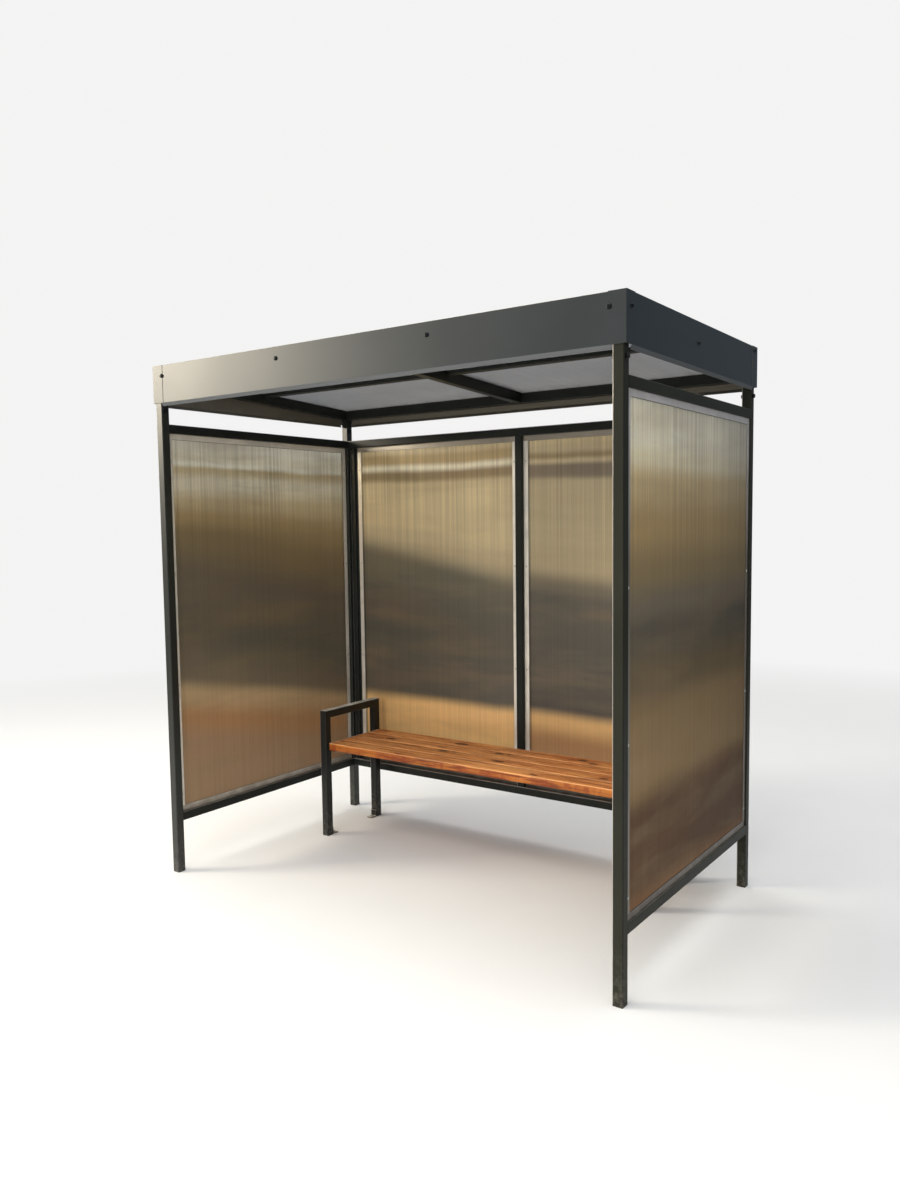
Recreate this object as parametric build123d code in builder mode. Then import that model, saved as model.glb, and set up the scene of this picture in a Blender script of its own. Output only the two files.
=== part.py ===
from build123d import *
import os
from math import atan2, cos, degrees, radians, sin

os.makedirs("parts", exist_ok=True)

# Bus shelter, millimetres. +Z is up, the open front faces -Y, and the origin is on the ground
# under the middle of the frame.

# Steel frame
frame_width = 2300
frame_depth = 1300
tube_size = 40
tube_wall = 2
tube_corner = 4
rail_top_height = 2084
rail_bottom_height = 240

# Roof frame, a flat panel that falls towards the rear. The rise is from the top rails to its middle.
roof_rise = 200
roof_fall = 66
roof_tube_width = 40
roof_tube_depth = 50
roof_overhang = 8
purlin_width = 40
purlin_depth = 20

# Sheets and their edging
sheet_thickness = 10
slot_clearance = 0.3
sheet_expansion = 2
edging_wall = 1.4
edging_leg = 25
edging_recess = 20
edging_fit = 0.2

# Roof sheets and the bar over their joint
roof_sheet_margin = 5
roof_joint_gap = 8
joint_bar_width = 50
joint_bar_thickness = 3
joint_bar_stem = 5
joint_bar_chamfer = 1

# Fascia of folded sheet and its corner covers. The rim stands over the roof frame's front edge.
fascia_rim = 26
fascia_height = 167
fascia_sheet = 1.5
fascia_return = 20
fascia_lip = 16
fascia_lip_angle = 60
fascia_bend = 2.5
fascia_fit = 0.3
lip_clearance = 1
mitre_gap = 0.7
cover_leg = 65
cover_sheet = 1.5
cover_bend = 2

# Screws of the fascia. The drops are from its top, the setbacks from the shelter's front or rear.
screw_head = 18
screw_rise = 5
screw_chamfer = 2
screw_drop = 48
panel_screw_x = 381
cover_screw_setback = 61
side_screw_setback = 38
side_front_screw_drop = 47
side_middle_screw_drop = 79
side_rear_screw_drop = 18
side_middle_screw_y = -27

# Bench
bench_length = 1830
bench_front = 124
bench_depth = 437
arm_height = 660
bench_tube = 40
seat_height = 492
plank_thickness = 38
plank_width = 100
plank_gap = 5
plank_count = 4
plank_setback = 12
plank_end_gap = 6
plank_round = 4
plank_chamfer = 2
seat_angle_leg = 40
seat_angle_rise = 34
seat_angle_wall = 4
seat_angle_inset = 6
tab_width = 34
tab_leg = 40
tab_rise = 36
tab_wall = 4
tab_bend = 6
anchor_hole = 11
anchor_setback = 24

# Places worked out from the sizes
half_width = frame_width / 2
half_depth = frame_depth / 2
post_x = half_width - tube_size / 2
post_y = half_depth - tube_size / 2
inner_x = half_width - tube_size
inner_y = half_depth - tube_size
opening_bottom = rail_bottom_height + tube_size
opening_top = rail_top_height - tube_size
opening_height = opening_top - opening_bottom
opening_middle = (opening_top + opening_bottom) / 2

roof_height = rail_top_height + roof_rise
roof_tilt = atan2(roof_fall, frame_depth)
roof_down = Vector(0, cos(roof_tilt), -sin(roof_tilt))
roof_up = Vector(0, sin(roof_tilt), cos(roof_tilt))
roof_plane = Plane(origin=(0, 0, roof_height), x_dir=(1, 0, 0), z_dir=roof_up)
roof_half_width = half_width + roof_overhang
roof_length = (frame_depth - roof_tube_depth * sin(roof_tilt)) / cos(roof_tilt)
roof_shift = roof_tube_depth * sin(roof_tilt) / cos(roof_tilt) / 2
roof_front = roof_shift - roof_length / 2
roof_rear = roof_shift + roof_length / 2

fascia_top = roof_height + roof_fall / 2 + fascia_rim
fascia_bottom = fascia_top - fascia_height
fascia_inner_x = roof_half_width + fascia_fit
fascia_inner_y = half_depth + fascia_fit
edging_slot = sheet_thickness + 2 * slot_clearance
edging_depth = edging_slot + 2 * edging_wall


def hollow_section(width, height):
    """Draw a tube's section with rounded corners in the open sketch."""
    RectangleRounded(width, height, tube_corner)
    RectangleRounded(
        width - 2 * tube_wall, height - 2 * tube_wall, tube_corner - tube_wall, mode=Mode.SUBTRACT
    )


def write(piece, node):
    """Label a finished piece and write its STEP file."""
    piece.part.label = node
    export_step(piece.part, f"parts/{node}.step")


def straight_tube(start, end, across, width, height):
    """Return a tube from start to end, with its width along the direction across."""
    run = Vector(*end) - Vector(*start)
    with BuildPart() as member:
        with BuildSketch(Plane(origin=start, x_dir=across, z_dir=run)):
            hollow_section(width, height)
        extrude(amount=run.length)
    return member


# Corner posts, cut off along the underside of the sloping roof frame
roof_underside = roof_plane.offset(-roof_tube_depth)
corners = {
    "front_left": (-post_x, -post_y),
    "front_right": (post_x, -post_y),
    "rear_left": (-post_x, post_y),
    "rear_right": (post_x, post_y),
}
for corner, (x, y) in corners.items():
    with BuildPart() as post:
        with BuildSketch(Plane((x, y, 0))):
            hollow_section(tube_size, tube_size)
        extrude(amount=roof_height)
        split(bisect_by=roof_underside, keep=Keep.BOTTOM)
    write(post, f"post_{corner}")

# Rails of the side walls and the rear wall
rail_levels = {
    "bottom": rail_bottom_height + tube_size / 2,
    "top": rail_top_height - tube_size / 2,
}
for level, height in rail_levels.items():
    for side, x in (("left", -post_x), ("right", post_x)):
        rail = straight_tube((x, -inner_y, height), (x, inner_y, height), (1, 0, 0), tube_size, tube_size)
        write(rail, f"rail_{side}_{level}")
    rail = straight_tube(
        (-inner_x, post_y, height), (inner_x, post_y, height), (0, 1, 0), tube_size, tube_size
    )
    write(rail, f"rail_rear_{level}")

# Middle post of the rear wall, between its two rails
middle_post = straight_tube(
    (0, post_y, opening_bottom), (0, post_y, opening_top), (1, 0, 0), tube_size, tube_size
)
write(middle_post, "post_rear_middle")


def roof_point(x, y, z):
    """Return the place of a point that is given in the tilted plane of the roof frame."""
    return roof_plane.from_local_coords(Vector(x, y, z))


def roof_tube(start, end, across, width, depth):
    """Return a tube of the roof frame, from two points in plan, with its top in the roof plane."""
    level = -depth / 2
    return straight_tube(roof_point(*start, level), roof_point(*end, level), across, width, depth)


# Roof frame: two side tubes, the front and rear tube between them, a rafter and the purlins
side_tube_x = roof_half_width - roof_tube_width / 2
roof_inner_x = roof_half_width - roof_tube_width
for side, x in (("left", -side_tube_x), ("right", side_tube_x)):
    side_tube = roof_tube((x, roof_front), (x, roof_rear), (1, 0, 0), roof_tube_width, roof_tube_depth)
    write(side_tube, f"roof_tube_{side}")

cross_tubes = {
    "front": roof_front + roof_tube_width / 2,
    "rear": roof_rear - roof_tube_width / 2,
}
for place, y in cross_tubes.items():
    cross_tube = roof_tube(
        (-roof_inner_x, y), (roof_inner_x, y), roof_down, roof_tube_width, roof_tube_depth
    )
    write(cross_tube, f"roof_tube_{place}")

rafter = roof_tube(
    (0, roof_front + roof_tube_width),
    (0, roof_rear - roof_tube_width),
    (1, 0, 0),
    roof_tube_width,
    roof_tube_depth,
)
write(rafter, "roof_rafter")

with BuildPart() as purlins:
    for purlin_start in (-roof_inner_x, roof_tube_width / 2):
        with BuildSketch(
            Plane(
                origin=roof_point(purlin_start, roof_shift, -purlin_depth / 2),
                x_dir=roof_down,
                z_dir=(1, 0, 0),
            )
        ):
            hollow_section(purlin_width, purlin_depth)
        extrude(amount=roof_inner_x - roof_tube_width / 2)
write(purlins, "roof_purlins")

# Roof sheets, one to each side of the joint over the rafter
roof_sheet_width = roof_half_width - roof_sheet_margin - roof_joint_gap / 2
roof_sheet_middle = (roof_joint_gap + roof_sheet_width) / 2
for side, direction in (("left", -1), ("right", 1)):
    with BuildPart() as roof_sheet:
        with BuildSketch(roof_plane):
            with Locations((direction * roof_sheet_middle, roof_shift)):
                Rectangle(roof_sheet_width, roof_length - 2 * roof_sheet_margin)
        extrude(amount=sheet_thickness)
    write(roof_sheet, f"roof_sheet_{side}")

# T-bar that clamps both roof sheets: its stem stands on the rafter between them
with BuildPart() as joint_bar:
    with BuildSketch(
        Plane(
            origin=roof_point(0, roof_front + roof_sheet_margin, 0),
            x_dir=(-1, 0, 0),
            z_dir=roof_down,
        )
    ):
        with Locations((0, sheet_thickness + joint_bar_thickness / 2)):
            Rectangle(joint_bar_width, joint_bar_thickness)
        with Locations((0, sheet_thickness / 2)):
            Rectangle(joint_bar_stem, sheet_thickness)
    extrude(amount=roof_length - 2 * roof_sheet_margin)
    bar_edges = joint_bar.edges().filter_by(Axis(roof_point(0, 0, 0), roof_down))
    top_edges = bar_edges.sort_by(Axis((0, 0, 0), roof_up)).group_by(Axis((0, 0, 0), roof_up))[-1]
    chamfer(top_edges, length=joint_bar_chamfer)
write(joint_bar, "roof_joint_bar")


def fascia(node, facing, inner, corner_x):
    """Write one fascia panel: a folded strip with a top return and a bent-in lower lip.

    facing is the panel's direction from the middle of the shelter, inner the distance of its
    inner face from there, and corner_x half the length of its outer face, mitre to mitre.
    """
    along = Vector(-facing.Y, facing.X, 0)
    outer = inner + fascia_sheet
    lip_run = fascia_lip * cos(radians(fascia_lip_angle))
    lip_drop = fascia_lip * sin(radians(fascia_lip_angle))
    lip_reach = (inner_x if facing.X == 0 else inner_y) - lip_clearance
    section = Plane(origin=-along * corner_x, x_dir=facing, z_dir=along)
    with BuildPart() as panel:
        with BuildSketch(section):
            with BuildLine():
                FilletPolyline(
                    (outer - fascia_return, -fascia_top),
                    (outer, -fascia_top),
                    (outer, -fascia_bottom),
                    (outer - lip_run, -fascia_bottom + lip_drop),
                    radius=fascia_bend,
                )
                offset(amount=fascia_sheet, side=Side.LEFT)
            make_face()
        extrude(amount=2 * corner_x)
        for end in (-1, 1):
            corner = facing * outer + along * end * (corner_x - mitre_gap * 2**0.5)
            split(bisect_by=Plane(origin=corner, z_dir=facing - along * end), keep=Keep.TOP)
            lip_end = facing * outer + along * end * (lip_reach + corner_x)
            with BuildSketch(Plane(origin=lip_end, x_dir=along, z_dir=(0, 0, 1))):
                Rectangle(2 * corner_x, 2 * fascia_return)
            extrude(amount=fascia_bottom, mode=Mode.SUBTRACT)
    write(panel, node)


cover_corner_x = fascia_inner_x + fascia_sheet
cover_corner_y = fascia_inner_y + fascia_sheet
fascia("fascia_front", Vector(0, -1, 0), fascia_inner_y, cover_corner_x)
fascia("fascia_rear", Vector(0, 1, 0), fascia_inner_y, cover_corner_x)
fascia("fascia_left", Vector(-1, 0, 0), fascia_inner_x, cover_corner_y)
fascia("fascia_right", Vector(1, 0, 0), fascia_inner_x, cover_corner_y)

# Corner covers, L-shaped strips over the fascia joints
for corner, (x, y) in corners.items():
    way_x = 1 if x > 0 else -1
    way_y = 1 if y > 0 else -1
    outer_x = way_x * (cover_corner_x + cover_sheet)
    outer_y = way_y * (cover_corner_y + cover_sheet)
    with BuildPart() as cover:
        with BuildSketch(Plane.XY.offset(fascia_bottom)):
            with BuildLine():
                FilletPolyline(
                    (outer_x - way_x * cover_leg, outer_y),
                    (outer_x, outer_y),
                    (outer_x, outer_y - way_y * cover_leg),
                    radius=cover_bend,
                )
                offset(amount=cover_sheet, side=Side.RIGHT if way_x == way_y else Side.LEFT)
            make_face()
        extrude(amount=fascia_height)
    write(cover, f"corner_cover_{corner}")

# Screw heads, seated on the fascia panels and on the corner covers
with BuildPart() as head:
    Cylinder(screw_head / 2, screw_rise, align=(Align.CENTER, Align.CENTER, Align.MIN))
    chamfer(head.faces().sort_by(Axis.Z)[-1].edges(), length=screw_chamfer)

cover_x = cover_corner_x + cover_sheet
cover_y = cover_corner_y + cover_sheet
cover_screw_x = cover_x - cover_screw_setback
cover_screw_y = cover_y - side_screw_setback
screw_seats = []
for way in (-1, 1):
    outwards = Vector(0, way, 0)
    screw_height = fascia_top - screw_drop
    for x in (-panel_screw_x, panel_screw_x):
        screw_seats.append(Plane(origin=(x, way * cover_corner_y, screw_height), z_dir=outwards))
    for x in (-cover_screw_x, cover_screw_x):
        screw_seats.append(Plane(origin=(x, way * cover_y, screw_height), z_dir=outwards))
    outwards = Vector(way, 0, 0)
    for seat in (
        (way * cover_x, -cover_screw_y, fascia_top - side_front_screw_drop),
        (way * cover_corner_x, side_middle_screw_y, fascia_top - side_middle_screw_drop),
        (way * cover_x, cover_screw_y, fascia_top - side_rear_screw_drop),
    ):
        screw_seats.append(Plane(origin=seat, z_dir=outwards))
with BuildPart() as screws:
    with Locations(*screw_seats):
        add(head.part)
write(screws, "fascia_screws")

# Wall sheets in their aluminium edging. Each wall has a plane that looks outwards, with its
# origin in the middle of the opening between posts and rails.
rear_bay = inner_x - tube_size / 2
rear_bay_middle = (inner_x + tube_size / 2) / 2
walls = {
    "left": (Vector(-inner_x, 0, opening_middle), Vector(-1, 0, 0), 2 * inner_y),
    "right": (Vector(inner_x, 0, opening_middle), Vector(1, 0, 0), 2 * inner_y),
    "rear_left": (Vector(-rear_bay_middle, inner_y, opening_middle), Vector(0, 1, 0), rear_bay),
    "rear_right": (Vector(rear_bay_middle, inner_y, opening_middle), Vector(0, 1, 0), rear_bay),
}
for wall, (middle, outwards, opening_width) in walls.items():
    inside = Plane(origin=middle, x_dir=(-outwards.Y, outwards.X, 0), z_dir=outwards).offset(edging_recess)
    edging_width = opening_width - 2 * edging_fit
    edging_height = opening_height - 2 * edging_fit
    with BuildPart() as edging:
        with BuildSketch(inside):
            Rectangle(edging_width, edging_height)
            Rectangle(edging_width - 2 * edging_leg, edging_height - 2 * edging_leg, mode=Mode.SUBTRACT)
        extrude(amount=edging_depth)
        with BuildSketch(inside.offset(edging_wall)):
            Rectangle(edging_width - 2 * edging_wall, edging_height - 2 * edging_wall)
        extrude(amount=edging_slot, mode=Mode.SUBTRACT)
    write(edging, f"edging_{wall}")

    sheet_border = 2 * (edging_wall + sheet_expansion)
    with BuildPart() as wall_sheet:
        with BuildSketch(inside.offset(edging_wall + slot_clearance)):
            Rectangle(edging_width - sheet_border, edging_height - sheet_border)
        extrude(amount=sheet_thickness)
    write(wall_sheet, f"sheet_{wall}")

# Bench: each end frame is one tube, mitred at the armrest's corners
end_x = bench_length / 2 - bench_tube / 2
end_inner_x = bench_length / 2 - bench_tube
front_leg_y = bench_front + bench_tube / 2
rear_leg_y = bench_front + bench_depth - bench_tube / 2
arm_middle = arm_height - bench_tube / 2
for side, x in (("left", -end_x), ("right", end_x)):
    with BuildPart() as bench_end:
        with BuildLine(Plane.YZ.offset(x)) as legs_and_arm:
            Polyline(
                (front_leg_y, 0), (front_leg_y, arm_middle), (rear_leg_y, arm_middle), (rear_leg_y, 0)
            )
        with BuildSketch(Plane((x, front_leg_y, 0))):
            hollow_section(bench_tube, bench_tube)
        sweep(path=legs_and_arm.wires()[0], transition=Transition.RIGHT)
    write(bench_end, f"bench_end_{side}")

# Seat angles, welded to the legs, with the planks on their flat legs
plank_front = bench_front + plank_setback
seat_depth = plank_count * plank_width + (plank_count - 1) * plank_gap
seat_underside = seat_height - plank_thickness
for side, way in (("left", 1), ("right", -1)):
    back = -way * end_inner_x
    with BuildPart() as seat_angle:
        with BuildSketch(Plane.XZ.offset(-plank_front - seat_angle_inset)):
            with BuildLine():
                Polyline(
                    (back, seat_underside - seat_angle_wall),
                    (back + way * seat_angle_leg, seat_underside - seat_angle_wall),
                    (back + way * seat_angle_leg, seat_underside),
                    (back + way * seat_angle_wall, seat_underside),
                    (back + way * seat_angle_wall, seat_underside + seat_angle_rise),
                    (back, seat_underside + seat_angle_rise),
                    close=True,
                )
            make_face()
        extrude(amount=-(seat_depth - 2 * seat_angle_inset))
    write(seat_angle, f"seat_angle_{side}")

# Seat planks with rounded long top edges
plank_length = 2 * (end_inner_x - seat_angle_wall - plank_end_gap)
for number in range(plank_count):
    plank_y = plank_front + number * (plank_width + plank_gap) + plank_width / 2
    with BuildPart() as plank:
        with BuildSketch(Plane((0, plank_y, seat_underside))):
            Rectangle(plank_length, plank_width)
        extrude(amount=plank_thickness)
        fillet(plank.faces().sort_by(Axis.Z)[-1].edges().filter_by(Axis.X), radius=plank_round)
        chamfer(plank.faces().sort_by(Axis.Z)[0].edges().filter_by(Axis.X), length=plank_chamfer)
    write(plank, f"seat_plank_{number + 1}")

# Anchor tabs on the inner sides of the bench's legs, each with a hole for a ground anchor
with BuildPart() as tabs:
    for x in (-end_x, end_x):
        for leg_face, way in ((front_leg_y + bench_tube / 2, 1), (rear_leg_y - bench_tube / 2, -1)):
            with BuildSketch(Plane.YZ.offset(x - tab_width / 2)):
                with BuildLine():
                    FilletPolyline(
                        (leg_face, tab_rise),
                        (leg_face, 0),
                        (leg_face + way * tab_leg, 0),
                        radius=tab_bend,
                    )
                    offset(amount=tab_wall, side=Side.LEFT if way > 0 else Side.RIGHT)
                make_face()
            extrude(amount=tab_width)
            with Locations((x, leg_face + way * anchor_setback, tab_wall)):
                Hole(radius=anchor_hole / 2)
write(tabs, "bench_anchor_tabs")
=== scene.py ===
"""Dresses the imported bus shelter: fluted sheets, planks, fasteners, finishes, studio and camera."""

import logging
import math
from collections.abc import Iterable, Iterator
from dataclasses import dataclass
from enum import Enum, StrEnum
from functools import cached_property

import bmesh
import bpy
from mathutils import Matrix, Vector


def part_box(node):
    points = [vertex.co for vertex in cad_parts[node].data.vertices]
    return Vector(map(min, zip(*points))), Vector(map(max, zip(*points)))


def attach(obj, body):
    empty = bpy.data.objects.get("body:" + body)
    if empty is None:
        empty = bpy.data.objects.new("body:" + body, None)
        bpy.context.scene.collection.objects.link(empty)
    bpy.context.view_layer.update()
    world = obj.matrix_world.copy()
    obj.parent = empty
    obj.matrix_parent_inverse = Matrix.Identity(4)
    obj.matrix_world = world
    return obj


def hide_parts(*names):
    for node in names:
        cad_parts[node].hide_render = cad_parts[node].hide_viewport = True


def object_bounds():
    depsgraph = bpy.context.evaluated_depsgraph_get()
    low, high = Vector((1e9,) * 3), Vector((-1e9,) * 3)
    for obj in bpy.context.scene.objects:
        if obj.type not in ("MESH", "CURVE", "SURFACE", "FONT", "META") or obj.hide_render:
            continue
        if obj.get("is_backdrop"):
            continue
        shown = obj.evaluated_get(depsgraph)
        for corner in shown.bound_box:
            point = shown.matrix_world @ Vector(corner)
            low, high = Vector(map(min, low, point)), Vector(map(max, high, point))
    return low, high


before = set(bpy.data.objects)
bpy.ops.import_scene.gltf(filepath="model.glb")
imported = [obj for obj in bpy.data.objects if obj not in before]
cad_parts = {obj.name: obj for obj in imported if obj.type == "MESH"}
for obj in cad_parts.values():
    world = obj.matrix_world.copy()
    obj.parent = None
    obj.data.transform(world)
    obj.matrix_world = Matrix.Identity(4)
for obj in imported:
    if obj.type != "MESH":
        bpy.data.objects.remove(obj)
CAD_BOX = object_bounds()

log = logging.getLogger("shelter")
MM = 0.001
STILE_WIDTH = 54.0 * MM
UP = Vector((0.0, 0.0, 1.0))
# The way towards the low sun at the front left; tube corners facing it get a painted highlight.
SUN_GLINT_SIDE = (-0.60, -0.60, 0.52)
Triple = tuple[float, float, float]
Colour = Triple
Stops = tuple[tuple[float, Colour], ...]
Socket = bpy.types.NodeSocket
Value = Socket | float | Triple
Material = bpy.types.Material
Mesh = bmesh.types.BMesh


class Across(Enum):
    """The axis that a sheet's flutes follow one another along, with its index."""

    X = 0
    Y = 1


class Wall(StrEnum):
    """A bay of the walls, by its name in the CAD nodes."""

    LEFT = "left"
    RIGHT = "right"
    REAR_LEFT = "rear_left"
    REAR_RIGHT = "rear_right"

    @property
    def across(self) -> Across:
        """The axis along the wall."""
        return Across.Y if self in (Wall.LEFT, Wall.RIGHT) else Across.X

    @property
    def through(self) -> int:
        """The index of the axis through the wall."""
        return 1 - self.across.value


class Facing(Enum):
    """The outward direction of a fastener's seat."""

    FRONT = (0.0, -1.0, 0.0)
    REAR = (0.0, 1.0, 0.0)
    LEFT = (-1.0, 0.0, 0.0)
    RIGHT = (1.0, 0.0, 0.0)
    UP = (0.0, 0.0, 1.0)
    DOWN = (0.0, 0.0, -1.0)


def shade(colour: Colour, factor: float) -> Colour:
    """Return the colour made lighter or darker by a factor."""
    return tuple(min(1.0, channel * factor) for channel in colour)


class Graph:
    """Builds the shader nodes of one material, or of the world."""

    def __init__(self, owner: Material | bpy.types.World) -> None:
        """Start on the empty node tree of a new material or world.

        Args:
            owner: The material or world.
        """
        owner.use_nodes = True
        self.owner = owner
        self.tree = owner.node_tree
        self.tree.nodes.clear()

    @cached_property
    def place(self) -> Socket:
        """The object coordinates."""
        return self.add("TexCoord").outputs["Object"]

    @cached_property
    def axes(self) -> dict[str, Socket]:
        """The object coordinates by their axis."""
        return self.split(self.place)

    @cached_property
    def normal(self) -> Socket:
        """The surface's normal."""
        return self.add("NewGeometry").outputs["Normal"]

    def add(self, kind: str, *values: Value, **settings: object) -> bpy.types.Node:
        """Add a node.

        Args:
            kind: Blender's name of the node type, after ShaderNode.
            *values: What its first inputs get.
            **settings: Properties of the node.

        Returns:
            The new node.
        """
        node = self.tree.nodes.new(f"ShaderNode{kind}")
        for key, setting in settings.items():
            setattr(node, key, setting)
        for socket, value in zip(node.inputs, values):
            self.feed(socket, value)
        return node

    def feed(self, target: Socket, value: Value) -> None:
        """Link a socket to an input, or set the input's own value.

        Args:
            target: The input.
            value: A socket to link, a number, a vector or a colour.
        """
        if isinstance(value, Socket):
            self.tree.links.new(value, target)
        else:
            target.default_value = (*value, 1.0) if target.type == "RGBA" else value

    def tune(self, node: bpy.types.Node, **values: Value) -> bpy.types.Node:
        """Feed some inputs of a node.

        Args:
            node: The node.
            **values: What they get, by the input's name in lower case with underscores.

        Returns:
            The node.
        """
        sockets = {socket.name.lower().replace(" ", "_"): socket for socket in node.inputs}
        for name, value in values.items():
            self.feed(sockets[name], value)
        return node

    def split(self, vector: Socket) -> dict[str, Socket]:
        """Return a vector's parts by their axis."""
        node = self.add("SeparateXYZ", vector)
        return {axis: node.outputs[axis] for axis in "XYZ"}

    def dot(self, a: Value, b: Value) -> Socket:
        """Return the dot product of two vectors."""
        return self.add("VectorMath", a, b, operation="DOT_PRODUCT").outputs["Value"]

    def math(self, operation: str, a: Value, b: Value = 0.0) -> Socket:
        """Return the result of a math node.

        Args:
            operation: Blender's name of the operation.
            a: The first operand.
            b: The second operand.

        Returns:
            The result.
        """
        return self.add("Math", a, b, operation=operation).outputs[0]

    def times(self, a: Value, b: Value) -> Socket:
        """Return the product of two numbers."""
        return self.math("MULTIPLY", a, b)

    def plus(self, a: Value, b: Value) -> Socket:
        """Return the sum of two numbers."""
        return self.math("ADD", a, b)

    def minus(self, a: Value, b: Value) -> Socket:
        """Return the first number less the second."""
        return self.math("SUBTRACT", a, b)

    def span(
        self, value: Socket, low: float, high: float, to_low: float = 0.0, to_high: float = 1.0
    ) -> Socket:
        """Return a value stretched from one range to another and held at its ends.

        Args:
            value: The value.
            low: The value that becomes to_low.
            high: The value that becomes to_high.
            to_low: The result at low.
            to_high: The result at high.

        Returns:
            The stretched value.
        """
        return self.add("MapRange", value, low, high, to_low, to_high, clamp=True).outputs[0]

    def stretched(self, scale: Triple, shift: Triple = (0.0, 0.0, 0.0)) -> Socket:
        """Return the object coordinates after a scale along each axis and a shift.

        Args:
            scale: The scale along X, Y and Z.
            shift: The shift that is added after the scale.

        Returns:
            The coordinates.
        """
        return self.tune(self.add("Mapping", self.place, shift), scale=scale).outputs[0]

    def noise(
        self, scale: float | Triple, detail: float = 2.0, rough: float = 0.5, twist: float = 0.0,
        shift: Triple = (0.0, 0.0, 0.0),
    ) -> Socket:
        """Return a noise value between 0 and 1.

        Args:
            scale: The noise's scale per metre, the same all ways or one for each axis.
            detail: How many finer layers it has.
            rough: How strong the finer layers are.
            twist: How much it is distorted.
            shift: How far a noise with three scales is moved.

        Returns:
            The noise.
        """
        even = isinstance(scale, float)
        where = self.place if even else self.stretched(scale, shift)
        node = self.tune(
            self.add("TexNoise"), vector=where, scale=scale if even else 1.0, detail=detail,
            roughness=rough, distortion=twist)
        return node.outputs["Fac"]

    def mix(self, factor: Value, a: Value, b: Value, blend: str = "MIX") -> Socket:
        """Return a mix of two colours.

        Args:
            factor: How much of b there is.
            a: The first colour.
            b: The second colour.
            blend: Blender's name of the way they mix.

        Returns:
            The mixed colour.
        """
        node = self.add("Mix", factor, data_type="RGBA", blend_type=blend)
        self.feed(node.inputs[6], a)
        self.feed(node.inputs[7], b)
        return node.outputs[2]

    def ramp(self, value: Socket, stops: Stops) -> Socket:
        """Return a colour from a ramp whose colours pass smoothly into one another.

        Args:
            value: Where on the ramp, from 0 to 1.
            stops: Places and their colours, in order.

        Returns:
            The colour.
        """
        node = self.add("ValToRGB", value)
        ramp = node.color_ramp
        ramp.interpolation = "EASE"
        while len(ramp.elements) < len(stops):
            ramp.elements.new(0.5)
        for element, (position, colour) in zip(ramp.elements, stops):
            element.position = position
            element.color = (*colour, 1.0)
        return node.outputs[0]

    def facing_up(self, low: float = 0.3, high: float = 0.95) -> Socket:
        """Return how much a face looks up, from 0 where its normal's height is low to 1 at high."""
        return self.span(self.split(self.normal)["Z"], low, high)

    def corners(self) -> Socket:
        """Return 1 on the tubes' rounded corners that face the low sun at the front left, where a painted
        highlight goes, 0 elsewhere.
        """
        x, y, z = (self.math("ABSOLUTE", part) for part in self.split(self.normal).values())
        pairs = [self.times(a, b) for a, b in ((x, y), (y, z), (z, x))]
        rounded = self.span(self.math("MAXIMUM", self.math("MAXIMUM", *pairs[:2]), pairs[2]), 0.08, 0.25)
        return self.times(rounded, self.span(self.dot(self.normal, SUN_GLINT_SIDE), 0.6, 0.8))

    def facing_in(self) -> Socket:
        """Return 1 on faces that look towards the upright axis through the origin, 0 on others."""
        return self.span(self.dot(self.stretched((1.0, 1.0, 0.0)), self.normal), -0.2, -0.45)

    def bump(self, height: Socket, depth: float, below: Socket | None = None) -> Socket:
        """Return a normal that a height field bends.

        Args:
            height: The height, from 0 to 1.
            depth: The height's real size in metres.
            below: The normal of a coarser field under this one.

        Returns:
            The bent normal.
        """
        node = self.tune(self.add("Bump"), strength=1.0, distance=depth, height=height)
        if below:
            self.tune(node, normal=below)
        return node.outputs[0]

    def finish(self, **inputs: Value) -> Material:
        """Give the material a surface shader.

        Args:
            **inputs: The shader's values by the input's name, in lower case with underscores.

        Returns:
            The finished material.
        """
        surface = self.tune(self.add("BsdfPrincipled"), **inputs)
        self.add("OutputMaterial", surface.outputs["BSDF"])
        return self.owner


def begin(name: str) -> Graph:
    """Return the graph of a new material."""
    return Graph(bpy.data.materials.new(name))


ANTHRACITE = (0.013, 0.015, 0.013)
# A dirt colour, which also paints sunlight on faces that look up.
DUST_AND_SUNLIGHT = (0.38, 0.35, 0.29)
# Most colours from here on are the wall sheets' bands, which paint light, shade and surroundings.
CREAM = (0.86, 0.79, 0.60)
STRAW = (0.66, 0.54, 0.32)
SAND = (0.48, 0.35, 0.17)
OLIVE = (0.31, 0.23, 0.12)
SMOKE = (0.21, 0.17, 0.12)
GOLD = (0.74, 0.46, 0.18)
AMBER = (0.94, 0.60, 0.25)
REED = (0.56, 0.46, 0.28)
ASH = (0.16, 0.145, 0.105)
COCOA = (0.22, 0.11, 0.05)
IVORY = (0.96, 0.92, 0.77)
HUSK = (0.47, 0.39, 0.24)
PITCH = (0.075, 0.065, 0.05)
RUSSET = (0.46, 0.25, 0.115)
UMBER = (0.40, 0.25, 0.14)
PEACH = (0.56, 0.40, 0.22)
SOOT = (0.112, 0.10, 0.077)
BARK = (0.115, 0.062, 0.032)
CLAY = (0.275, 0.18, 0.085)
MOSS = (0.165, 0.12, 0.065)


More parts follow.
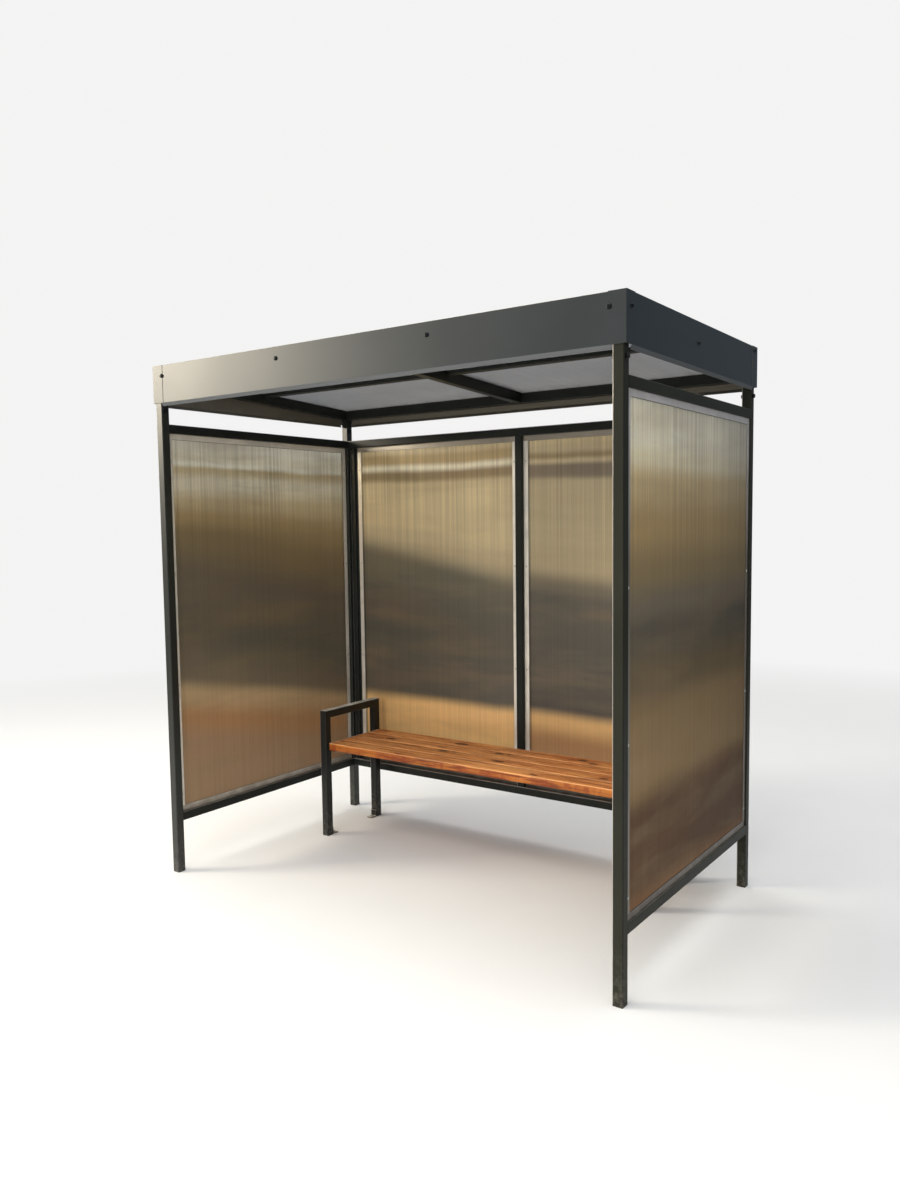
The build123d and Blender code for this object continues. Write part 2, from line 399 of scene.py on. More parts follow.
@dataclass(frozen=True)
class PowderCoat:
    """Powder-coated steel: fine orange peel, even sheen, a pale cover on top that is partly dirt and partly
    painted sunlight, and splashes near the ground.
    """

    name: str
    colour: Colour
    rough: float = 0.32
    dust: float = 0.45
    lip: float = 0.0
    powder: Colour = DUST_AND_SUNLIGHT
    backing: Colour | None = None
    gloss: float = 0.42
    wear: float = 0.8
    bare: Colour = (0.74, 0.70, 0.66)
    lip_tone: Colour = (0.33, 0.35, 0.37)
    splashed: float = 0.24
    splash_top: float = 0.30
    peel: float = 0.02 * MM

    def material(self) -> Material:
        """Return the coat's material."""
        g = begin(self.name)
        broad = g.noise(2.6, 4.0, 0.55)
        cloudy = g.noise(17.0, 3.0, 0.6, 0.4)
        tone = g.mix(g.span(broad, 0.3, 0.7), shade(self.colour, 0.86), shade(self.colour, 1.16))
        # Faces that look up turn towards a pale colour, partly as dirt lying on them and partly as painted
        # sunlight from the low sun on top ledges.
        dirt_and_painted_light = g.times(g.facing_up(), g.span(cloudy, 0.3, 0.75, 0.35, 1.0))
        tone = g.mix(g.times(dirt_and_painted_light, self.dust), tone, self.powder)
        # Painted highlight: rounded corners facing the low sun turn lighter and partly metallic, as abraded
        # paint and as the sun's glint.
        rubbed_and_glint = g.times(g.corners(), g.span(cloudy, 0.3, 0.7, 0.6 * self.wear, self.wear))
        tone = g.mix(rubbed_and_glint, tone, self.bare)
        if self.backing:
            tone = g.mix(g.facing_in(), tone, self.backing)
        if self.lip:
            under = g.times(g.facing_up(-0.12, -0.3), g.facing_up(-0.95, -0.8))
            tone = g.mix(g.times(under, self.lip), tone, self.lip_tone)
        low = g.span(g.axes["Z"], self.splash_top, 0.0)
        splash = g.times(g.math("POWER", low, 2.0), g.span(g.noise(55.0, 4.0, 0.7), 0.42, 0.7))
        tone = g.mix(g.times(splash, self.splashed), tone, DUST_AND_SUNLIGHT)
        sheen = g.span(broad, 0.3, 0.7, self.rough - 0.015, self.rough + 0.02)
        sheen = g.plus(g.plus(sheen, g.times(dirt_and_painted_light, 0.2)), g.times(splash, 0.25))
        peel = g.bump(g.noise(480.0, 1.0), self.peel)
        return g.finish(
            base_color=tone, roughness=sheen, normal=peel, specular_ior_level=self.gloss,
            metallic=g.times(rubbed_and_glint, 0.8),
        )


@dataclass(frozen=True)
class SheetTintAndLight:
    """A sheet's colours and painted light: colours from one end of its flutes to the other, which paint the
    light, shade and surroundings seen on and through the sheet, and how they change along the wall.

    Attributes:
        bands: Places along the flutes, from 0 to 1, and their colours, which paint light, shade and
            surroundings.
        clear: How much light passes the sheet at both ends of the flutes.
        fall: How much lighter the far end of the wall is painted.
        slant: How far the middle bands rise along the wall, in metres per metre.
        tilted: Where along the flutes the bands begin to rise, and where they rise in full.
        stain: How much olive and brown there is in clouds.
        gloss: The shader's specular level.
    """

    bands: Stops
    clear: tuple[float, float] = (0.3, 0.3)
    fall: float = 0.0
    slant: float = 0.0
    tilted: tuple[float, float] = (0.36, 0.52)
    stain: float = 0.3
    gloss: float = 0.3


@dataclass(frozen=True)
class FlutedSheet:
    """Twin-wall sheet: ribs between two clear skins, soft colours in bands that paint light, shade and
    reflection, streaks along the flutes.
    """

    name: str
    across: Across
    low: Vector
    high: Vector
    pitch: float
    look: SheetTintAndLight
    upright: bool = True
    streak: float = 0.26
    rib: float = 0.16
    drift: float = 0.03
    rough: float = 0.34
    shadow: float = 1.0
    scuff: float = 0.03 * MM
    shadow_edge: tuple[float, float] = (31.0 * MM, 37.0 * MM)

    def material(self) -> Material:
        """Return the sheet's material."""
        g = begin(self.name)
        run, index = ("Z", 2) if self.upright else ("Y", 1)
        length = self.high[index] - self.low[index]
        base = g.math("DIVIDE", g.minus(g.axes[run], self.low[index]), length)
        aside = g.minus(g.axes[self.across.name], self.high[self.across.value])
        tint = self.clouded(g, g.ramp(self.level(g, base, aside, length), self.look.bands))
        tint = g.mix(1.0, tint, self.light(g, base, aside), "MULTIPLY")
        haze = g.span(g.noise(9.0, 4.0, 0.6), 0.3, 0.7, self.rough - 0.05, self.rough + 0.06)
        scuffs = g.bump(g.noise(self.along_flutes(260.0, 4.0), 2.0), self.scuff)
        clear = g.span(base, 0.25, 1.0, *self.look.clear)
        return g.finish(
            base_color=tint, roughness=haze, normal=scuffs, transmission_weight=clear, ior=1.5,
            specular_ior_level=self.look.gloss,
        )

    def level(self, g: Graph, base: Socket, aside: Socket, length: float) -> Socket:
        """Return the place on the painted bands.

        Args:
            g: The material's graph.
            base: The place along the flutes, from 0 to 1.
            aside: The distance from the sheet's far side, below 0 on the sheet.
            length: The flutes' length.

        Returns:
            The place, from 0 to 1, a little uneven and slanted along the wall.
        """
        drift = g.noise(self.along_flutes(1.3, 2.2), 3.0, 0.5)
        level = g.plus(base, g.times(g.minus(drift, 0.5), self.drift))
        if not self.look.slant:
            return level
        middle = g.times(g.span(base, *self.look.tilted), g.span(base, 0.84, 0.74))
        return g.plus(level, g.times(middle, g.times(aside, -self.look.slant / length)))

    def clouded(self, g: Graph, tint: Socket) -> Socket:
        """Return the colours with their clouds of olive and brown.

        Args:
            g: The material's graph.
            tint: The colours without them.

        Returns:
            The clouded colours.
        """
        clouds = g.noise(self.along_flutes(1.6, 8.0), 3.0, 0.6, 0.3)
        tint = g.mix(g.span(clouds, 0.45, 0.75, 0.0, self.look.stain), tint, OLIVE)
        rust = g.noise(self.along_flutes(1.1, 6.0), 2.0, 0.5, shift=(3.1, 4.7, 1.9))
        return g.mix(g.span(rust, 0.5, 0.8, 0.0, 0.7 * self.look.stain), tint, UMBER)

    def light(self, g: Graph, base: Socket, aside: Socket) -> Socket:
        """Return how light the sheet is, with its ribs, streaks, a painted fall of light along the wall and a
        painted shadow line beside the edging where one is set.

        Args:
            g: The material's graph.
            base: The place along the flutes, from 0 to 1.
            aside: The distance from the sheet's far side, below 0 on the sheet.

        Returns:
            A factor for the colours, about 1.
        """
        flute = g.math("DIVIDE", g.minus(g.axes[self.across.name], self.low[self.across.value]), self.pitch)
        each = g.tune(g.add("TexWhiteNoise", noise_dimensions="1D"), w=g.math("FLOOR", flute))
        fine = g.noise(self.along_flutes(420.0, 1.6), 2.0, 0.6)
        wide = g.noise(self.along_flutes(75.0, 0.9), 2.0, 0.6)
        streaks = g.plus(g.times(each.outputs["Value"], 0.2), g.times(fine, 0.4))
        streaks = g.plus(streaks, g.times(wide, 0.4))
        strength = g.span(base, 0.6, 0.95, 0.32, 1.0) if self.upright else 0.6
        swing = g.times(g.span(streaks, 0.32, 0.68, -self.streak, self.streak), strength)
        near_rib = g.span(g.math("PINGPONG", flute, 0.5), 0.0, 0.16, 1.0, 0.0)
        light = g.minus(g.plus(1.0, swing), g.times(near_rib, self.rib))
        half = self.look.fall / 2
        width = self.high[self.across.value] - self.low[self.across.value]
        light = g.times(light, g.span(aside, -width, 0.0, 1.0 - half, 1.0 + half))
        dark, plain = (edge - width for edge in self.shadow_edge)
        return g.times(light, g.span(aside, dark, plain, self.shadow, 1.0))

    def along_flutes(self, across: float, along: float) -> Triple:
        """Return a scale with one value across the flutes and another along them."""
        return (across, along, along) if self.across is Across.X else (along, across, along)


@dataclass(frozen=True)
class MillAluminium:
    """Extruded aluminium as it leaves the mill: drawn lines, dull oxide, dirt and painted shade along the
    lower members, painted shadow under the rail.
    """

    name: str
    colour: Colour = (0.68, 0.63, 0.60)
    grime_and_shade: Colour = (0.12, 0.095, 0.075)
    grime_and_shade_top: float = 0.36
    least_grime_and_shade: float = 0.45
    rough: float = 0.36
    metallic: float = 0.4
    shaded: float = 0.0
    under_rail: float = 0.0
    rail_leg: float = 2019.0 * MM
    bronze: Colour = (0.13, 0.105, 0.075)
    drawn: float = 0.03 * MM

    def material(self) -> Material:
        """Return the aluminium's material."""
        g = begin(self.name)
        oxide = g.noise(6.0, 4.0, 0.6, 0.5)
        lines = g.noise((420.0, 420.0, 5.0), 3.0, 0.6)
        tone = g.mix(g.span(oxide, 0.35, 0.7), shade(self.colour, 0.82), shade(self.colour, 1.06))
        tone = g.mix(g.span(lines, 0.35, 0.75, 0.0, 0.22), tone, shade(self.colour, 0.6))
        # Painted shade: a shaded edging darkens towards the bottom, and the top leg under the rail darkens as
        # the rail's shadow.
        if self.shaded:
            tone = g.mix(g.span(g.axes["Z"], 1.95, 1.45, 0.0, self.shaded), tone, self.bronze)
        if self.under_rail:
            above = g.span(g.minus(g.axes["Z"], self.rail_leg), -0.5 * MM, 0.5 * MM, 0.0, self.under_rail)
            tone = g.mix(above, tone, self.bronze)
        # Dirt and painted shade on the lower leg; a thin band at its top edge is left out.
        low = g.span(g.axes["Z"], self.grime_and_shade_top, self.grime_and_shade_top - 0.06)
        dirt_and_painted_light = g.times(low, g.span(g.noise(14.0, 4.0, 0.6), 0.25, 0.6, self.least_grime_and_shade, 1.0))
        lip = g.span(g.axes["Z"], self.grime_and_shade_top - 0.056, self.grime_and_shade_top - 0.054)
        tone = g.mix(g.times(dirt_and_painted_light, g.minus(1.0, lip)), tone, self.grime_and_shade)
        grain = g.span(oxide, 0.3, 0.75, self.rough - 0.07, self.rough + 0.13)
        return g.finish(
            base_color=tone, roughness=grain, normal=g.bump(lines, self.drawn), metallic=self.metallic)


@dataclass(frozen=True)
class OiledPlank:
    """A pine plank with growth rings, knots, fibres, an orange-brown oil stain, and upper edges lightened by
    abrasion and as a painted highlight.
    """

    name: str
    board: int
    knots: tuple[Triple, ...]
    low: Vector
    high: Vector
    pale: Colour = (0.93, 0.42, 0.14)
    warm: Colour = (0.68, 0.22, 0.062)
    deep: Colour = (0.26, 0.062, 0.02)
    blush: Colour = (0.40, 0.085, 0.02)
    flank: Colour = (0.50, 0.37, 0.15)
    char: Colour = (0.06, 0.018, 0.008)
    worn: Colour = (0.98, 0.60, 0.28)
    ring_depth: float = 0.18 * MM
    fibre_depth: float = 0.22 * MM

    def material(self) -> Material:
        """Return the plank's material."""
        g = begin(self.name)
        shift = (self.board * 1.37, self.board * 0.291, self.board * 0.173)
        near, close = self.knot_fields(g)
        wander = g.noise((1.3, 6.0, 6.0), 2.0, 0.5, shift=shift)
        phase = g.plus(g.times(wander, 9.0), g.times(near, 8.0))
        rings = g.tune(
            g.add("TexWave", wave_type="BANDS", bands_direction="Y", wave_profile="SAW"),
            vector=g.stretched((0.25, 9.0, 5.0), shift), scale=2.2, distortion=3.0, detail=2.0,
            detail_scale=0.8, phase_offset=phase).outputs["Fac"]
        fibre = g.noise((9.0, 420.0, 420.0), 4.0, 0.7, shift=shift)
        streak = g.noise((4.5, 120.0, 70.0), 4.0, 0.65, shift=shift)
        patch = g.noise((5.0, 14.0, 14.0), 3.0, 0.55, shift=shift)
        late = g.span(rings, 0.45, 1.0)
        wood = g.mix(g.span(patch, 0.3, 0.7), self.pale, self.warm)
        wood = g.mix(g.times(late, 0.6), wood, self.warm)
        bright = g.noise((2.2, 70.0, 50.0), 2.0, 0.6, shift=(4.0, *shift[1:]))
        for cover, low, high, amount, colour in (
            (patch, 0.6, 0.76, 0.5, self.deep), (streak, 0.5, 0.57, 0.85, self.deep),
            (fibre, 0.52, 0.72, 0.55, self.deep), (bright, 0.53, 0.6, 0.8, self.pale),
        ):
            wood = g.mix(g.span(cover, low, high, 0.0, amount), wood, colour)
        patches = g.noise((13.0, 4.0, 6.0), 4.0, 0.62, shift=shift)
        side = g.facing_up(0.6, 0.2)
        wood = g.mix(g.times(side, g.span(patches, 0.48, 0.6, 0.0, 0.75)), wood, self.blush)
        wood = g.mix(side, wood, self.flank, "MULTIPLY")
        # Abrasion and painted highlight: the upper arrises are lightened, partly as abraded wood and partly
        # as light catching them.
        wood = g.mix(self.worn_edges(g, fibre), wood, self.worn)
        wood = g.mix(g.times(near, g.span(rings, 0.3, 0.8, 0.1, 0.6)), wood, self.deep)
        wood = g.mix(g.times(close, 0.92), wood, self.char)
        sheen = g.span(fibre, 0.3, 0.8, 0.40, 0.6)
        relief = g.bump(fibre, self.fibre_depth, g.bump(late, self.ring_depth))
        return g.finish(base_color=wood, roughness=sheen, normal=relief, specular_ior_level=0.35)

    def worn_edges(self, g: Graph, fibre: Socket) -> Socket:
        """Return how abraded and highlit the plank is, 1 along its upper edges: abrasion and a painted
        highlight on the arrises.

        Args:
            g: The material's graph.
            fibre: The noise of the fibres.

        Returns:
            The abrasion and painted highlight, from 0 to 1.
        """
        front = g.minus(g.axes["Y"], self.low.y)
        rear = g.minus(self.high.y, g.axes["Y"])
        down = g.minus(self.high.z, g.axes["Z"])
        rim = g.plus(g.math("MINIMUM", front, rear), down)
        rim = g.plus(rim, g.times(g.minus(fibre, 0.5), 0.006))
        return g.span(rim, 0.007, 0.003, 0.0, 0.28)

    def knot_fields(self, g: Graph) -> tuple[Socket, Socket]:
        """Build the swirl around the plank's knots and the knots themselves.

        Args:
            g: The material's graph.

        Returns:
            Two values from 0 to 1, for the swirl and for the knots.
        """
        near = close = 0.0
        ragged = g.times(g.minus(g.noise(60.0, 3.0, 0.6), 0.5), 0.9)
        for x, y, radius in self.knots:
            along = g.math("DIVIDE", g.minus(g.axes["X"], x), 2.3 * radius)
            over = g.math("DIVIDE", g.minus(g.axes["Y"], y), radius)
            away = g.math("SQRT", g.plus(g.math("POWER", along, 2.0), g.math("POWER", over, 2.0)))
            away = g.plus(away, ragged)
            near = g.math("MAXIMUM", near, g.span(away, 2.6, 0.9))
            close = g.math("MAXIMUM", close, g.span(away, 0.9, 0.62))
        return near, close


@dataclass(frozen=True)
class SmallPart:
    """Steel or rubber of small parts: one colour, lighter in patches, over a fine grain."""

    name: str
    colour: Colour
    rough: tuple[float, float]
    metallic: float = 0.0
    gloss: float = 0.5
    patch: float = 310.0
    lighter: float = 1.5
    grain: float = 1500.0
    depth: float = 0.03 * MM

    def material(self) -> Material:
        """Return the small parts' material."""
        g = begin(self.name)
        patches = g.noise(self.patch, 3.0, 0.6)
        tone = g.mix(g.span(patches, 0.4, 0.75), self.colour, shade(self.colour, self.lighter))
        return g.finish(
            base_color=tone, roughness=g.span(patches, 0.3, 0.7, *self.rough), metallic=self.metallic,
            normal=g.bump(g.noise(self.grain, 2.0), self.depth), specular_ior_level=self.gloss)


def piece(
    name: str, mesh: Mesh, material: Material, slot: str,
    stands_for: Iterable[str] = (), smooth_below: float | None = 32.0,
) -> bpy.types.Object:
    """Turn a finished bmesh into a piece of the shelter.

    Args:
        name: The piece's name.
        mesh: The mesh, in metres in the row frame. It is freed here.
        material: The piece's material.
        slot: The name of a material slot. It is not used.
        stands_for: CAD nodes that the piece replaces.
        smooth_below: Edges that turn less than this many degrees are shaded smooth; None for flat.

    Returns:
        The new object.
    """
    data = bpy.data.meshes.new(name)
    mesh.to_mesh(data)
    mesh.free()
    data.materials.append(material)
    if smooth_below is not None:
        data.polygons.foreach_set("use_smooth", [True] * len(data.polygons))
        data.set_sharp_from_angle(angle=math.radians(smooth_below))
    made = bpy.data.objects.new(name, data)
    bpy.context.scene.collection.objects.link(made)
    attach(made, "root")
    nodes = list(stands_for)
    if nodes:
        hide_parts(*nodes)
    log.info("%s: %d faces", name, len(data.polygons))
    return made


def block(low: Vector, high: Vector) -> Mesh:
    """Return a box between two corners.

    Args:
        low: The lowest corner.
        high: The highest corner.

    Returns:
        The box.
    """
    mesh = bmesh.new()
    place = Matrix.Translation((low + high) / 2) @ Matrix.Diagonal((*(high - low), 1.0))
    bmesh.ops.create_cube(mesh, size=1.0, matrix=place)
    return mesh


def edges_along(mesh: Mesh, axis: Vector) -> list[bmesh.types.BMEdge]:
    """Return the edges that run along an axis.

    Args:
        mesh: The mesh.
        axis: The axis, of length 1.

    Returns:
        The edges.
    """
    ways = ((edge, (edge.verts[1].co - edge.verts[0].co).normalized()) for edge in mesh.edges)
    return [edge for edge, way in ways if abs(way.dot(axis)) > 0.999]


def soften(mesh: Mesh, edges: Iterable[bmesh.types.BMEdge], width: float, segments: int = 3) -> None:
    """Bevel some edges.

    Args:
        mesh: The mesh.
        edges: The edges.
        width: The bevel's width in metres.
        segments: How many faces the bevel has.
    """
    bmesh.ops.bevel(
        mesh, geom=list(edges), offset=width, segments=segments, profile=0.5, affect="EDGES",
        material=-1, clamp_overlap=True,
    )


def room(node: str) -> tuple[Vector, Vector]:
    """Return what the stile leaves of a wall's CAD node.

    Args:
        node: The node's name.

    Returns:
        The lowest and the highest corner.
    """
    low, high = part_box(node)
    if node.endswith("rear_left"):
        low.x += STILE_WIDTH
    elif node.endswith("rear_right"):
        high.x -= STILE_WIDTH
    return low, high


def thicken(mesh: Mesh, faces: list[bmesh.types.BMFace], lift: Vector) -> None:
    """Make flat faces solid, with a lifted copy of them and sides between.

    Args:
        mesh: The mesh.
        faces: The faces.
        lift: The way from the faces to their copy.
    """
    raised = bmesh.ops.extrude_face_region(mesh, geom=faces, use_keep_orig=True)["geom"]
    bmesh.ops.translate(mesh, vec=lift, verts=[v for v in raised if isinstance(v, bmesh.types.BMVert)])
    bmesh.ops.recalc_face_normals(mesh, faces=mesh.faces[:])


@dataclass(frozen=True)
class Flutes:
    """The flutes of a twin-wall sheet: how far apart they are, how far they swell, their faces."""

    pitch: float = 10.0 * MM
    bulge: float = 0.3 * MM
    steps: int = 4

    def plate(self, low: Vector, high: Vector, across: Across, through: int) -> Mesh:
        """Return a plate in flutes, whose skins swell between the ribs.

        Args:
            low: The plate's lowest corner.
            high: The plate's highest corner.
            across: The axis that the flutes follow one another along.
            through: The index of the axis through the plate.

        Returns:
            The mesh.
        """
        mesh = block(low, high)
        index = across.value
        axis = Vector()
        axis[index] = 1.0
        count = round((high[index] - low[index]) / self.pitch) * self.steps
        bmesh.ops.subdivide_edges(mesh, edges=edges_along(mesh, axis), cuts=count - 1, use_grid_fill=True)
        middle = (low[through] + high[through]) / 2
        for vert in mesh.verts:
            turn = (vert.co[index] - low[index]) / (high[index] - low[index]) * count / self.steps
            swell = self.bulge * (math.sin(math.pi * (turn % 1.0)) - 1.0)
            vert.co[through] += swell if vert.co[through] > middle else -swell
        return mesh


@dataclass
class FlutedWalls:
    """The four wall sheets with their sealing strips, and the stile and edging beside each rear sheet."""

    flutes: Flutes = Flutes()
    edging_leg: float = 25.0 * MM
    edging_wall: float = 1.4 * MM
    seal_start: float = 25.2 * MM
    seal_width: float = 1.2 * MM
    seal_rise: float = 0.8 * MM
    rear_shadow: float = 0.5
    stile_ease: float = 1.5 * MM
    stile_profile: tuple[tuple[float, float], ...] = (
        (0.1, -2.0), (31.8, -2.0), (31.8, 12.0), (53.2, 12.0), (53.2, 19.6), (0.1, 19.6))
    seal_rubber: SmallPart = SmallPart(
        "seal_rubber", (0.03, 0.028, 0.025), (0.6, 0.8), patch=45.0, lighter=2.2, grain=700.0,
        depth=0.04 * MM)
    # Painted highlight: the stiles get a lit copy of the frame coat, glossier than the rest of the frame.
    stile_coat: PowderCoat = PowderCoat("stile_coat", ANTHRACITE, 0.34, 0.5, gloss=0.42)
    # The rear edgings darken almost evenly on their lower legs as painted shade under the seat, and on the
    # top leg as painted shadow under the rail.
    rear_edging: MillAluminium = MillAluminium(
        "edging_aluminium", (0.80, 0.75, 0.66), grime_and_shade=(0.045, 0.038, 0.03), least_grime_and_shade=0.92, under_rail=0.72)
    # Each wall's bands paint the light, shade and surroundings seen on the real sheet, and fall paints one
    # end lighter or darker.
    left: SheetTintAndLight = SheetTintAndLight((
        (0.0, UMBER), (0.06, UMBER), (0.12, RUSSET), (0.19, PEACH), (0.235, SMOKE), (0.36, ASH), (0.5, SMOKE),
        (0.62, OLIVE), (0.72, SAND), (0.81, STRAW), (0.88, CREAM), (0.91, STRAW), (0.922, IVORY),
        (0.936, CREAM), (0.97, IVORY),
    ), clear=(0.3, 0.9), fall=0.1, slant=-0.19, tilted=(0.0, 0.1), stain=0.5)
    rear_left: SheetTintAndLight = SheetTintAndLight((
        (0.0, RUSSET), (0.09, GOLD), (0.16, AMBER), (0.2, AMBER), (0.24, SOOT), (0.4, SOOT), (0.56, ASH),
        (0.64, REED), (0.7, STRAW), (0.88, STRAW), (0.902, OLIVE), (0.914, OLIVE), (0.933, CREAM),
        (0.95, SAND), (0.965, SAND), (0.982, STRAW), (1.0, REED),
    ), clear=(0.3, 0.36), slant=-0.19)
    rear_right: SheetTintAndLight = SheetTintAndLight((
        (0.0, RUSSET), (0.14, RUSSET), (0.2, GOLD), (0.24, PITCH), (0.5, SOOT), (0.53, ASH), (0.59, HUSK),
        (0.87, HUSK), (0.89, SMOKE), (0.913, SMOKE), (0.928, REED), (0.942, OLIVE), (0.962, REED),
        (0.985, STRAW), (1.0, REED),
    ), clear=(0.24, 0.3), slant=-0.1)
    right: SheetTintAndLight = SheetTintAndLight((
        (0.0, COCOA), (0.06, BARK), (0.18, BARK), (0.25, CLAY), (0.36, CLAY), (0.44, MOSS), (0.54, SOOT),
        (0.6, SMOKE), (0.66, OLIVE), (0.75, SAND), (0.84, STRAW), (0.88, CREAM), (0.92, IVORY),
    ), clear=(0.08, 0.62), fall=-0.5, gloss=0.01)

    def build(self) -> None:
        """Build the stiles and edgings of the rear wall, then the sheets and strips of all four walls."""
        rubber, steel, metal = (
            finish.material() for finish in (self.seal_rubber, self.stile_coat, self.rear_edging))
        for wall in (Wall.REAR_LEFT, Wall.REAR_RIGHT):
            self.stile(wall, steel)
            self.edging(wall, metal)
        for wall, tint in zip(Wall, (self.left, self.right, self.rear_left, self.rear_right)):
            self.sheet(wall, tint)
            self.strips(wall, rubber)

    def stile(self, wall: Wall, material: Material) -> None:
        """Build the stile between a corner post and its rear sheet.

        Args:
            wall: The wall.
            material: The stile's material.
        """
        low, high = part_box(f"edging_{wall}")
        side, way = (low.x, 1.0) if wall is Wall.REAR_LEFT else (high.x, -1.0)
        mesh = bmesh.new()
        corners = [
            mesh.verts.new((side + way * x * MM, low.y + y * MM, low.z)) for x, y in self.stile_profile]
        thicken(mesh, [mesh.faces.new(corners)], Vector((0.0, 0.0, high.z - low.z)))
        soften(mesh, edges_along(mesh, UP), self.stile_ease)
        piece(f"stile_{wall}", mesh, material, "frame_paint")

    def edging(self, wall: Wall, material: Material) -> None:
        """Build the U-shaped edging of a rear sheet, which ends at the stile.

        Args:
            wall: The wall.
            material: The edging's material.
        """
        low, high = room(f"edging_{wall}")
        leg, inner, depth = self.edging_leg, self.edging_wall, high.y - low.y
        profile = (
            (0.0, 0.0), (leg, 0.0), (leg, inner), (inner, inner),
            (inner, depth - inner), (leg, depth - inner), (leg, depth), (0.0, depth))
        mesh = bmesh.new()
        rings = [
            [mesh.verts.new((x + u * in_x, low.y + v, z + u * in_z)) for u, v in profile]
            for x, z, in_x, in_z in (
                (low.x, low.z, 1, 1), (high.x, low.z, -1, 1),
                (high.x, high.z, -1, -1), (low.x, high.z, 1, -1))]
        for here, there in zip(rings, rings[1:] + rings[:1]):
            for k in range(len(profile)):
                mesh.faces.new((here[k - 1], there[k - 1], there[k], here[k]))
        bmesh.ops.recalc_face_normals(mesh, faces=mesh.faces[:])
        piece(f"trim_{wall}", mesh, material, "edging", [f"edging_{wall}"], smooth_below=None)

    def sheet(self, wall: Wall, tint: SheetTintAndLight) -> None:
        """Build one fluted sheet in the place of its CAD plate.

        Args:
            wall: The wall.
            tint: The sheet's colours and painted light.
        """
        low, high = room(f"sheet_{wall}")
        shadow = self.rear_shadow if wall.across is Across.X else 1.0
        finish = FlutedSheet(f"fluted_{wall}", wall.across, low, high, self.flutes.pitch, tint, shadow=shadow)
        mesh = self.flutes.plate(low, high, wall.across, wall.through)
        piece(f"fluted_sheet_{wall}", mesh, finish.material(), "wall_sheet", [f"sheet_{wall}"])

    def strips(self, wall: Wall, material: Material) -> None:
        """Build the sealing strips along the edging's inner lips, on both faces of a sheet.

        Args:
            wall: The wall.
            material: The strips' material.
        """
        low, high = room(f"edging_{wall}")
        sheet_low, sheet_high = room(f"sheet_{wall}")
        index, through = wall.across.value, wall.through
        ends = low[index] + self.seal_start, high[index] - self.seal_start
        levels = low.z + self.seal_start, high.z - self.seal_start
        mesh = bmesh.new()
        for face, way in ((sheet_low[through], -1.0), (sheet_high[through], 1.0)):
            corners = []
            for u, v in ((0, 0), (1, 0), (1, 1), (0, 1)):
                spot = Vector((0.0, 0.0, levels[v]))
                spot[index], spot[through] = ends[u], face
                corners.append(mesh.verts.new(spot))
            plate = mesh.faces.new(corners)
            plate.normal_update()
            rim = bmesh.ops.inset_region(
                mesh, faces=[plate], thickness=self.seal_width, use_boundary=True,
                use_even_offset=True)["faces"]
            bmesh.ops.delete(mesh, geom=[plate], context="FACES_ONLY")
            lift = Vector()
            lift[through] = way * self.seal_rise
            thicken(mesh, rim, lift)
        piece(f"seal_{wall}", mesh, material, "gasket", smooth_below=None)


@dataclass
class RoofCover:
    """The two opal roof sheets, fluted along the fall."""

    flutes: Flutes = Flutes()
    thickness: float = 10.0 * MM
    tint: SheetTintAndLight = SheetTintAndLight((
        (0.0, (0.50, 0.55, 0.63)), (0.35, (0.60, 0.655, 0.74)), (0.7, (0.56, 0.60, 0.66)),
        (1.0, (0.66, 0.69, 0.73)),
    ), clear=(0.5, 0.5), stain=0.06)

    def build(self) -> None:
        """Build both roof sheets in the place of their CAD plates."""
        for side in ("left", "right"):
            low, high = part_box(f"roof_sheet_{side}")
            tilt = self.tilt(side)
            length = ((high.y - low.y) - self.thickness * math.sin(tilt)) / math.cos(tilt)
            flat_low = Vector((low.x, -length / 2, -self.thickness / 2))
            flat_high = Vector((high.x, length / 2, self.thickness / 2))
            mesh = self.flutes.plate(flat_low, flat_high, Across.X, 2)
            turn = Matrix.Translation((0.0, (low.y + high.y) / 2, (low.z + high.z) / 2))
            turn = turn @ Matrix.Rotation(-tilt, 4, "X")
            bmesh.ops.transform(mesh, matrix=turn, verts=mesh.verts[:])
            finish = FlutedSheet(
                f"opal_{side}", Across.X, low, high, self.flutes.pitch, self.tint, upright=False,
                streak=0.1, rib=0.14, rough=0.42)
            piece(f"fluted_roof_{side}", mesh, finish.material(), "roof_sheet", [f"roof_sheet_{side}"])

    def tilt(self, side: str) -> float:
        """Return the roof's fall, from the corners of a CAD sheet.

        Args:
            side: The sheet's side, left or right.

        Returns:
            The fall towards the rear, in radians.
        """
        points = [v.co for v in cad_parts[f"roof_sheet_{side}"].data.vertices]
        front = max(p.z for p in points if p.y < min(q.y for q in points) + self.thickness / 2)
        rear = max(p.z for p in points if p.y > max(q.y for q in points) - self.thickness / 2)
        run = max(p.y for p in points) - min(p.y for p in points)
        return math.atan2(front - rear, run)


